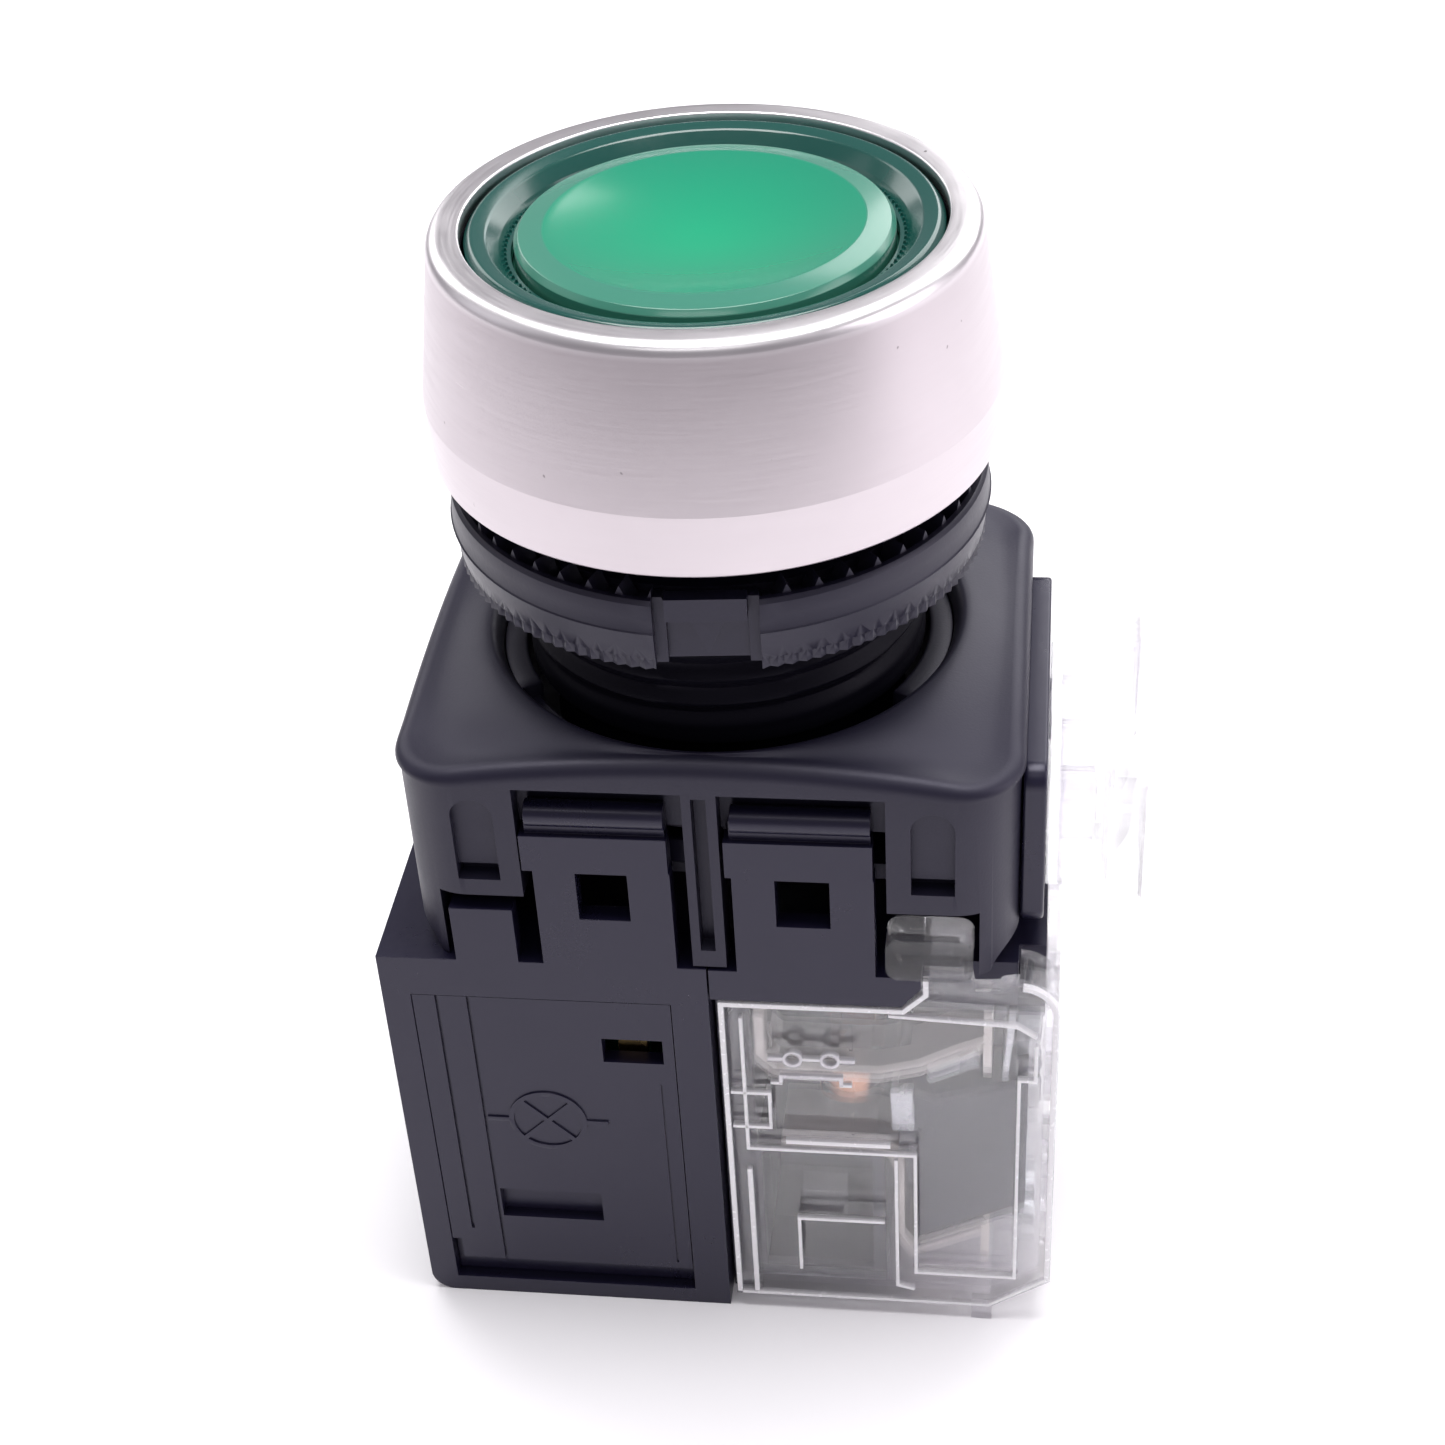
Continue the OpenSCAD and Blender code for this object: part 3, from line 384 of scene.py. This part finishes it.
VIOLET = (0.88, 0.85, 1.0)   # cool tint of the black plastic's gloss
MATERIALS = {
    "satin_black": moulded_plastic("satin_black", (0.009, 0.008, 0.020), rough=0.46, grain=0.14 * MM,
                                   grain_height=0.006 * MM, dust=0.10, sheen_tint=VIOLET),
    "gloss_black": moulded_plastic("gloss_black", (0.008, 0.007, 0.021), rough=0.31, grain=0.4 * MM,
                                   grain_height=0.002 * MM, dust=0.05, sheen_tint=VIOLET),
    "ring_black": moulded_plastic("ring_black", (0.009, 0.008, 0.019), rough=0.38, grain=0.2 * MM,
                                  grain_height=0.005 * MM, dust=0.10, sheen_tint=VIOLET),
    # painted shade: the threaded neck, in the dark pocket under the ring, is made blacker and less glossy than
    # the other black plastic
    "shaded_neck_black": moulded_plastic("shaded_neck_black", (0.003, 0.0027, 0.006), rough=0.5, grain=0.2 * MM,
                                  grain_height=0.005 * MM, dust=0.05, gloss=0.12, sheen_tint=VIOLET),
    "clear_edge": clear_edge(),
    "white_plastic": moulded_plastic("white_plastic", (0.78, 0.78, 0.75), rough=0.38, grain=0.3 * MM,
                                     grain_height=0.004 * MM, dust=0.1),
    "red_plastic": moulded_plastic("red_plastic", (0.20, 0.035, 0.02), rough=0.42, grain=0.3 * MM,
                                   grain_height=0.005 * MM),
    "rubber": moulded_plastic("rubber", (0.016, 0.016, 0.017), rough=0.75, grain=0.12 * MM,
                              grain_height=0.012 * MM),
    "ceramic": moulded_plastic("ceramic", (0.55, 0.44, 0.26), rough=0.35, grain=0.3 * MM,
                               grain_height=0.008 * MM, dust=0.2),
    "bezel_metal": brushed_bezel(),
    "steel": bright_metal("steel", (0.62, 0.63, 0.65), 0.26),
    "contact_silver": bright_metal("contact_silver", (0.88, 0.83, 0.78), 0.42, metallic=0.6),
    "brass": bright_metal("brass", (0.80, 0.58, 0.24), 0.27),
    "copper": bright_metal("copper", (0.80, 0.42, 0.26), 0.25),
    # lens_green: painted shade darkens the dish towards its rim, and its paler border is painted sheen
    "lens_green": tinted_lens("lens_green", (0.0, 0.34, 0.165), (0.008, 0.25, 0.145), 0.15, 0.19,
                              border=(0.05, 0.235, 0.165)),
    "ring_green": tinted_lens("ring_green", (0.006, 0.085, 0.07), (0.006, 0.07, 0.058), 0.15, 0.17),
    "clear_plastic": clear_plastic(),
    "led_plastic": frosted_dome(),
    "board_green": board_laminate(),
}


# ---- mesh helpers ----
def new_object(name, mesh):
    piece = bpy.data.objects.new(name, mesh)
    bpy.context.scene.collection.objects.link(piece)
    return piece


def shade(mesh, angle=35):
    """Smooth shading, with creases where faces meet at more than the angle."""
    made = bmesh.new()
    made.from_mesh(mesh)
    bmesh.ops.recalc_face_normals(made, faces=made.faces)
    for face in made.faces:
        face.smooth = True
    for edge in made.edges:
        if len(edge.link_faces) == 2:
            edge.smooth = edge.calc_face_angle(0) < math.radians(angle)
    made.to_mesh(mesh)
    made.free()


def finish_piece(piece, body, slot, nodes=(), material=None):
    """Gives a piece its material, the slot's unless another is named, puts it on its body, and hides the CAD
    nodes that it stands in for.
    """
    piece.data.materials.clear()
    piece.data.materials.append(MATERIALS[material or slot])
    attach(piece, body)
    if nodes:
        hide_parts(*nodes)


def rounded(corners, steps=6):
    """A closed outline from (r, z, fillet) corners, where each fillet is drawn as an arc.

    Millimetres in, metres out."""
    points = []
    count = len(corners)
    for i, (r, z, fillet) in enumerate(corners):
        here = Vector((r, z))
        before = Vector(corners[i - 1][:2]) - here
        after = Vector(corners[(i + 1) % count][:2]) - here
        if fillet <= 0:
            points.append(here)
            continue
        half = before.angle(after) / 2
        reach = min(fillet / math.tan(half), before.length * 0.49, after.length * 0.49)
        radius = reach * math.tan(half)
        start = here + before.normalized() * reach
        end = here + after.normalized() * reach
        centre = here + (before.normalized() + after.normalized()).normalized() * radius / math.sin(half)
        a, b = start - centre, end - centre
        turn = a.angle_signed(b) * -1
        for k in range(steps + 1):
            c, s = math.cos(turn * k / steps), math.sin(turn * k / steps)
            points.append(centre + Vector((a.x * c - a.y * s, a.x * s + a.y * c)))
    return [p * MM for p in points]


def grid_mesh(name, rows, close_rows=True):
    """A surface through rows of points, each a closed loop. The rows close on themselves if asked."""
    columns = len(rows[0])
    points = [p for row in rows for p in row]
    faces = []
    for i in range(len(rows) if close_rows else len(rows) - 1):
        j = (i + 1) % len(rows)
        for k in range(columns):
            m = (k + 1) % columns
            faces.append((i * columns + k, i * columns + m, j * columns + m, j * columns + k))
    mesh = bpy.data.meshes.new(name)
    mesh.from_pydata(points, [], faces)
    return mesh


def lathe(name, outline, segments=192, wobble=None):
    """Turns a closed outline of (r, z) points about Z. wobble(angle, r, z) may change a point's radius."""
    rows = []
    for r, z in outline:
        row = []
        for k in range(segments):
            angle = 2 * math.pi * k / segments
            radius = r if wobble is None else wobble(angle, r, z)
            row.append((radius * math.cos(angle), radius * math.sin(angle), z))
        rows.append(row)
    mesh = grid_mesh(name, rows)
    weld = bmesh.new()
    weld.from_mesh(mesh)
    bmesh.ops.remove_doubles(weld, verts=weld.verts, dist=1e-7)
    bmesh.ops.dissolve_degenerate(weld, edges=weld.edges, dist=1e-8)
    weld.to_mesh(mesh)
    weld.free()
    shade(mesh)
    return new_object(name, mesh)


# ---- head ----
def make_bezel():
    """Turned collar: a rounded rim, a cone that widens downwards and a plain band."""
    outline = rounded([
        (12.27, 65.6, 0.12), (13.9, 65.6, 0.75), (15.08, 57.05, 0.16), (14.88, 53.5, 0.25), (14.2, 53.5, 0.1),
        (14.3, 57, 0.2), (13.1, 64.7, 0.2), (12.27, 64.7, 0.1)], steps=8)
    finish_piece(lathe("bezel_collar", outline, 256), "housing", "bezel_metal", ["bezel"])


def make_lens():
    """Disc with a bevelled border round a shallow dish."""
    dish_r, dish_depth, top, steps = 8.1, 1.1, 65.25, 32
    flat_share = 0.985   # the dish's arc stops just inside its rim
    ball = (dish_r ** 2 + dish_depth ** 2) / (2 * dish_depth)
    dish = []
    for k in range(steps + 1):
        r = dish_r * flat_share * k / steps
        dish.append((r, top - dish_depth + ball - math.sqrt(ball ** 2 - r ** 2), 0))
    outline = rounded([(0, 62.4, 0), *dish, (dish_r + 0.06, top, 0.08), (9.35, 65.05, 0.1), (9.6, 64.75, 0.12),
                       (9.6, 63.35, 0.03), (9.84, 63.25, 0.05), (9.84, 62.4, 0.05)], steps=5)
    finish_piece(lathe("lens_disc", outline, 192), "button", "lens_green", ["lens"])


def make_lens_ring():
    """Rounded crown outside the disc, sloping down into a groove with fine ribs."""
    outline = rounded([
        (9.98, 60.5, 0.05), (12.05, 60.5, 0.1), (12.07, 65.0, 0.15), (11.75, 65.42, 0.3), (10.95, 65.2, 0.35),
        (10.35, 64.55, 0.2), (10.1, 64.2, 0.05), (9.76, 64.2, 0.04), (9.76, 63.6, 0.03),
        (9.98, 63.55, 0.05)], steps=6)
    finish_piece(lathe("lens_outer_ring", outline, 192), "button", "ring_green", ["lens_ring"])
    made = bmesh.new()
    ribs, groove_r, groove_z = 120, 10.05 * MM, 64.25 * MM
    rib_foot, rib_tip, rib_height = 0.11 * MM, 0.05 * MM, 0.22 * MM
    for k in range(ribs):
        matrix = Matrix.Rotation(2 * math.pi * k / ribs, 4, "Z") @ Matrix.Translation((groove_r, 0, groove_z))
        bmesh.ops.create_cone(made, cap_ends=True, segments=6, radius1=rib_foot, radius2=rib_tip,
                              depth=rib_height, matrix=matrix)
    mesh = bpy.data.meshes.new("lens_groove_ribs")
    made.to_mesh(mesh)
    made.free()
    shade(mesh)
    finish_piece(new_object("lens_groove_ribs", mesh), "button", "ring_green")


def make_barrel():
    """Head barrel with a threaded neck, and the two slots where the lock collar's dogs enter its spigot."""
    pitch, depth, thread_foot, thread_top = 1.5 * MM, 0.42 * MM, 41.2 * MM, 53.0 * MM
    neck_r, spigot_r, slot_floor_r = 10.95 * MM, 9.6 * MM, 9.05 * MM
    slot_angle = math.atan(3.5 / 13.2)   # where the collar's dogs stand with the lever at rest
    slot_half = 1.7 / 9.6
    slot_top = 33 * MM

    def wobble(angle, r, z):
        if abs(r - neck_r) < 1e-6 and thread_foot < z < thread_top:
            turn = (z / pitch - angle / (2 * math.pi)) % 1
            ridge = min(1, max(0, 2.4 * abs(turn - 0.5) - 0.1))
            fade = min(1, (z - thread_foot) / pitch, (thread_top - z) / pitch)
            return r - depth * (1 - ridge) * fade
        in_slot = abs((angle - slot_angle) % math.pi - math.pi / 2) < slot_half
        if abs(r - spigot_r) < 1e-6 and z < slot_top and in_slot:
            return slot_floor_r
        return r

    neck = [(10.95, 53.2 - 0.15 * k, 0) for k in range(81)]
    outline = rounded([
        (12.25, 64.65, 0), (13.08, 64.65, 0.1), (14.28, 57.2, 0.1), (14.23, 53.6, 0.2), (10.95, 53.6, 0), *neck,
        (10.95, 40.5, 0.25), (9.6, 40.5, 0), (9.6, 34.8, 0), (9, 34.8, 0), (9, 32.8, 0), (9.6, 32.8, 0),
        (9.6, 32.3, 0), (9.6, 31.6, 0), (8.4, 31.6, 0.1), (8.4, 42.75, 0), (8.1, 42.75, 0),
        (8.1, 44, 0.1), (9.7, 44, 0),
        (9.7, 54.9, 0.15), (12.25, 54.9, 0)], steps=4)
    barrel = lathe("threaded_barrel", outline, 288, wobble)
    # painted shade: the barrel takes the blacker neck material
    finish_piece(barrel, "housing", "satin_black", ["head_barrel"], "shaded_neck_black")


def coil(name, radius, wire, foot, top, turns, centre=(0, 0)):
    """A round wire spring with closed ends, from foot to top along Z."""
    sides, per_turn, closed = 10, 40, 0.75
    pitch_room = top - foot - 2 * wire
    rows = []
    steps = int(turns * per_turn)
    for i in range(steps + 1):
        t = i / per_turn
        rise = min(1, max(0, (t - closed) / (turns - 2 * closed)))
        settle = 2 * wire * (min(t, closed) + max(0, t - (turns - closed))) / closed
        z = foot + wire + (pitch_room - 4 * wire) * rise + settle
        angle = 2 * math.pi * t
        row = []
        for j in range(sides):
            b = 2 * math.pi * j / sides
            r = radius + wire * math.cos(b)
            row.append((centre[0] + r * math.cos(angle), centre[1] + r * math.sin(angle),
                        z + wire * math.sin(b)))
        rows.append(row)
    mesh = grid_mesh(name, rows, close_rows=False)
    capped = bmesh.new()
    capped.from_mesh(mesh)
    bmesh.ops.holes_fill(capped, edges=[e for e in capped.edges if e.is_boundary], sides=0)
    capped.to_mesh(mesh)
    capped.free()
    shade(mesh, 50)
    return new_object(name, mesh)


def make_springs():
    """The two springs as fixed coils of round wire; the real springs shorten by the button's travel as it goes
    down.
    """
    low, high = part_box("return_spring")
    wire = 0.3 * MM
    piece = coil("return_spring_coil", high.x - wire, wire, low.z, high.z, 7)
    finish_piece(piece, "housing", "steel", ["return_spring"])
    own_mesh(piece)
    low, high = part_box("contact_spring")
    wire = 0.2 * MM
    centre = ((low.x + high.x) / 2, (low.y + high.y) / 2)
    piece = coil("contact_spring_coil", 1.3 * MM, wire, low.z, high.z, 8, centre)
    finish_piece(piece, "housing", "steel", ["contact_spring"])
    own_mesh(piece)


# ---- body cap, in millimetres ----
CAP_HALF_X, CAP_HALF_Y = (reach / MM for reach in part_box("body_cap")[1][:2])
CAP_CORNER = 3.7                     # radius of the upright corners
CAP_PARTING = 39.6                   # lower end of the wall
CAP_BLEND = 0.95                     # radius of the rounded edge
ARCH_TOP, ARCH_FALL = 42.68, 160     # the edge is at ARCH_TOP - r * r / ARCH_FALL
POCKET_R, LIP_ROLL, LIP_DEPTH, LIP_Z = 12.5, 0.75, 1.3, 41.72
CAP_COLUMNS, CAP_ARC_STEPS, CAP_TOP_STEPS = 360, 9, 8


def cap_outline_r(angle, inset):
    """Distance from the axis to the rounded rectangle, moved in by inset."""
    c, s = abs(math.cos(angle)), abs(math.sin(angle))
    cx, cy = CAP_HALF_X - CAP_CORNER, CAP_HALF_Y - CAP_CORNER
    if c > 1e-9 and (CAP_HALF_X - inset) / c * s <= cy:
        return (CAP_HALF_X - inset) / c
    if s > 1e-9 and (CAP_HALF_Y - inset) / s * c <= cx:
        return (CAP_HALF_Y - inset) / s
    along = cx * c + cy * s
    return along + math.sqrt(along ** 2 - cx ** 2 - cy ** 2 + (CAP_CORNER - inset) ** 2)


def cap_edge_z(angle):
    """Height of the cap's edge, arched between the corners."""
    r = cap_outline_r(angle, CAP_BLEND)
    return ARCH_TOP - r * r / ARCH_FALL


def cap_row(radius_at, z_at):
    """A closed loop of points in metres, from functions that give millimetres at an angle."""
    made = []
    for k in range(CAP_COLUMNS):
        angle = 2 * math.pi * k / CAP_COLUMNS
        r, z = radius_at(angle), z_at(angle)
        made.append((r * math.cos(angle) * MM, r * math.sin(angle) * MM, z * MM))
    return made


def cap_ring(r, z):
    return cap_row(lambda a: r, lambda a: z)


def cap_edge_row(t):
    """One loop of the rounded edge, at angle t of its quarter circle."""
    def height(a):
        start = max(CAP_PARTING + 0.12, cap_edge_z(a) - CAP_BLEND)
        return start + (cap_edge_z(a) - start) * math.sin(t)

    return cap_row(lambda a: cap_outline_r(a, CAP_BLEND * (1 - math.cos(t))), height)


def cap_top_row(t):
    """One loop of the slightly sagging top, at share t of the way from the edge to the pocket's lip."""
    lip = POCKET_R + LIP_ROLL
    sag = 0.12

    def radius(a):
        return cap_outline_r(a, CAP_BLEND) * (1 - t) + lip * t

    def height(a):
        room = (cap_outline_r(a, CAP_BLEND) - lip) / 6
        ease = t * t * (3 - 2 * t)
        return cap_edge_z(a) * (1 - ease) + LIP_Z * ease - sag * min(1, room) * math.sin(math.pi * t)

    return cap_row(radius, height)


def make_body_cap():
    """Square cap: upright wall, rounded edge arched between the corners, and a top with a round pocket."""
    rows = [cap_ring(9.75, 35.6), cap_ring(11.9, 35.6), cap_ring(12, 35.7), cap_ring(12, CAP_PARTING)]
    rows.append(cap_row(lambda a: cap_outline_r(a, 0.12), lambda a: CAP_PARTING))
    rows.append(cap_row(lambda a: cap_outline_r(a, 0), lambda a: CAP_PARTING + 0.08))
    quarter = [math.pi / 2 * k / CAP_ARC_STEPS for k in range(CAP_ARC_STEPS + 1)]
    rows += [cap_edge_row(t) for t in quarter]
    rows += [cap_top_row(k / CAP_TOP_STEPS) for k in range(1, CAP_TOP_STEPS)]
    for t in quarter:
        rows.append(cap_ring(POCKET_R + LIP_ROLL * (1 - math.sin(t)), LIP_Z - LIP_DEPTH * (1 - math.cos(t))))
    for r, z in ((POCKET_R, 39.98), (POCKET_R - 0.08, 39.9), (11.5, 39.9), (11.4, 39.8), (11.4, 36.5),
                 (11.3, 36.4), (9.85, 36.4), (9.75, 36.3)):
        rows.append(cap_ring(r, z))
    mesh = grid_mesh("square_cap", rows)
    add_ledges(mesh)
    shade(mesh, 32)
    finish_piece(new_object("square_cap", mesh), "housing", "satin_black", ["body_cap"])


def add_ledges(mesh):
    """Two flat ledges at the left and right of the cap's pocket, closed ring segments with eased edges."""
    made = bmesh.new()
    steps, half_angle = 20, 32
    for side in (0, math.pi):
        section = [(11.18, 36.5), (12.48, 36.5), (12.48, 40.72), (11.3, 40.72), (11.18, 40.6)]
        loops = []
        for k in range(steps + 1):
            angle = side + math.radians(-half_angle + 2 * half_angle * k / steps)
            loops.append([made.verts.new((r * math.cos(angle) * MM, r * math.sin(angle) * MM, z * MM))
                          for r, z in section])
        for first, second in zip(loops, loops[1:]):
            for j in range(len(section)):
                m = (j + 1) % len(section)
                made.faces.new((first[j], first[m], second[m], second[j]))
        made.faces.new(loops[0])
        made.faces.new(loops[-1][::-1])
    bmesh.ops.recalc_face_normals(made, faces=made.faces)
    sharp = [e for e in made.edges if e.calc_face_angle(0) > math.radians(40)]
    bmesh.ops.bevel(made, geom=sharp, offset=0.12 * MM, segments=2, affect="EDGES", profile=0.5)
    made.from_mesh(mesh)
    made.to_mesh(mesh)
    made.free()


# ---- clear cover: white lines of painted highlight along its edges and relief, and the bright parts behind it ----
def add_bar(made, points, width, near, far, closed=False):
    """A mitred bar along a path of (x, z) points in millimetres, from y = near to y = far."""
    path = [Vector(p) for p in points]
    count = len(path)
    loops = []
    for i, here in enumerate(path):
        before = path[i - 1] if closed or i > 0 else None
        after = path[(i + 1) % count] if closed or i < count - 1 else None
        ways = []
        if before is not None:
            ways.append((here - before).normalized())
        if after is not None:
            ways.append((after - here).normalized())
        across = sum((Vector((-w.y, w.x)) for w in ways), Vector((0, 0)))
        if len(ways) == 1:
            offset = across * width / 2
        else:
            offset = across * width / across.length_squared
        corners = ((here + offset, near), (here - offset, near), (here - offset, far), (here + offset, far))
        loops.append([made.verts.new((c.x * MM, y * MM, c.y * MM)) for c, y in corners])
    pairs = list(zip(loops, loops[1:]))
    if closed:
        pairs.append((loops[-1], loops[0]))
    for first, second in pairs:
        for j in range(4):
            m = (j + 1) % 4
            made.faces.new((first[j], first[m], second[m], second[j]))
    if not closed:
        made.faces.new(loops[0][::-1])
        made.faces.new(loops[-1])


def bars(name, rows, body, slot, material, ease=0.03):
    """One piece from rows of (points, width, near, far, closed)."""
    made = bmesh.new()
    for row in rows:
        add_bar(made, *row)
    bmesh.ops.recalc_face_normals(made, faces=made.faces)
    sharp = [e for e in made.edges if e.calc_face_angle(0) > math.radians(50)]
    bmesh.ops.bevel(made, geom=sharp, offset=ease * MM, segments=2, affect="EDGES", profile=0.5)
    mesh = bpy.data.meshes.new(name)
    made.to_mesh(mesh)
    made.free()
    shade(mesh)
    finish_piece(new_object(name, mesh), body, slot, (), material)


def arc(x, z, r, start, end, steps=12):
    """Points on a circle about (x, z), from start to end in degrees."""
    angles = [math.radians(start + (end - start) * k / steps) for k in range(steps + 1)]
    return [(x + r * math.cos(a), z + r * math.sin(a)) for a in angles]


def make_cover_edges():
    """White lines of painted highlight on the clear cover's real edges and relief: outline, ribs, and a diagram
    of two circles and three dashes.
    """
    front, inside, fine, wide = -14.14, -13.75, 0.2, 0.3
    circle_r, circle_z, circle_line = 0.48, 21.0, 0.16
    rows = [
        ([(0.35, 1.3), (0.35, 24.95), (10.4, 24.95), (11.65, 26.25), (11.65, 27.4)], wide),
        ([(1.4, 24.0), (1.4, 13.72), (11.0, 13.72), (11.0, 3.8), (16.8, 3.8), (16.8, 20.1), (17.7, 20.1),
          (17.7, 22.8)], fine),
        ([(0.6, 18.2), (2.8, 18.2), (2.8, 15.5), (0.6, 15.5)], fine),
        ([(1.4, 1.4), (1.4, 12.0)], wide),
        ([(3.6, 14.4), (9.6, 14.4)], wide),
        ([(9.9, 13.3), (9.9, 2.6), (10.9, 2.3)], fine),
        ([(4.15, 3.6), (4.15, 8.0), (9.2, 8.0)], fine),
        ([(0.5, 1.25), (15.3, 1.25), (18.65, 3.75)], fine),
        ([(18.7, 3.8), (18.7, 25.0), *arc(16.7, 25.0, 2.0, 5, 85)], wide),
        ([(2.9, 19.1), (3.5, 19.1), (3.5, 19.65), (6.9, 19.65), (6.9, 19.1), (7.5, 19.1)], fine),
        ([(2.8, 21.0), (3.65, 21.0)], fine),
        ([(4.75, 21.0), (5.75, 21.0)], fine),
        ([(6.85, 21.0), (7.7, 21.0)], fine),
        ([(9.6, 24.6), (16.6, 24.2), (17.7, 23.4)], fine),
    ]
    made = [(points, width, front, inside, False) for points, width in rows]
    for x in (4.2, 6.3):
        made.append((arc(x, circle_z, circle_r, 0, 342, 19), circle_line, front, inside, True))
    bars("cover_edges", made, "housing", "clear_plastic", "clear_edge")


def make_terminal_clamps():
    """Bent zinc saddles under the terminal strips, and a small bright guide beside the contact."""
    rows = []
    for side in (-1, 1):
        near, far = side * 12.3, side * 6.2
        rows.append(([(11.7, 18.75), (14.5, 20.3)], 0.5, near, far, False))
        rows.append(([(16.0, 19.0), (16.35, 23.7)], 0.4, near, far, False))
    bars("terminal_clamps", rows, "housing", "steel", "steel", 0.08)
    guide = [([(10.3, 15.1), (10.2, 18.1)], 1.3, -13.0, -12.6, False)]
    bars("contact_guide", guide, "housing", "steel", "steel", 0.08)


make_camera()
make_studio()
make_bezel()
make_lens()
make_lens_ring()
make_barrel()
make_springs()
make_body_cap()
make_cover_edges()
make_terminal_clamps()


# ---- carried-over CAD nodes: rounded edges and materials ----
WELD_DISTANCE = 1e-6
FLAT_ANGLE, SHARP_ANGLE = math.radians(0.6), math.radians(32)
EDGE_SEGMENTS, NORMAL_WEIGHT = 2, 60


def ease_edges(node, width):
    """Rounds a CAD node's sharp edges with modifiers, so that they catch the light."""
    piece = frame["nodes"][node]
    weld = piece.modifiers.new("weld", "WELD")
    weld.merge_threshold = WELD_DISTANCE
    flat = piece.modifiers.new("flat", "DECIMATE")
    flat.decimate_type = "DISSOLVE"
    flat.angle_limit = FLAT_ANGLE
    bevel = piece.modifiers.new("bevel", "BEVEL")
    bevel.width = width
    bevel.segments = EDGE_SEGMENTS
    bevel.limit_method = "ANGLE"
    bevel.angle_limit = SHARP_ANGLE
    bevel.miter_outer = "MITER_ARC"
    bevel.use_clamp_overlap = True
    normals = piece.modifiers.new("normals", "WEIGHTED_NORMAL")
    normals.keep_sharp = False
    normals.weight = NORMAL_WEIGHT


EDGES = {   # edge radius of each node in millimetres; 0 leaves its edges as they are
    "locking_ring": 0.08, "body_frame": 0.14, "side_plate": 0.18,
    "lock_lever": 0.12, "lock_collar": 0.12, "power_block_case": 0.14, "power_block_cover": 0.05,
    "contact_block_base": 0.12, "contact_block_cover": 0.1, "contact_plunger": 0.1, "contact_bridge": 0.08,
    "upper_fixed_contacts": 0.05, "lower_fixed_contacts": 0.05, "contact_terminal_screws": 0.08,
    "power_terminal_screws": 0.08, "power_contact_strips": 0.05, "supply_board": 0.08, "dropper_resistor": 0.15,
    "lamp_socket": 0.1, "lamp_feed_strips": 0.05, "led_base": 0.08, "led_dome": 0, "button_carrier": 0.12,
    "retaining_clip": 0.08, "lens_diffuser": 0.1, "panel_gasket": 0.15,
}
SLOT_OF = {s["node"]: s["material_slot"] for s in frame["record"]["subparts"]}
for node, width in EDGES.items():
    piece = frame["nodes"][node]
    piece.data.materials.clear()
    piece.data.materials.append(MATERIALS["ring_black" if node == "locking_ring" else SLOT_OF[node]])
    if width:
        ease_edges(node, width * MM)
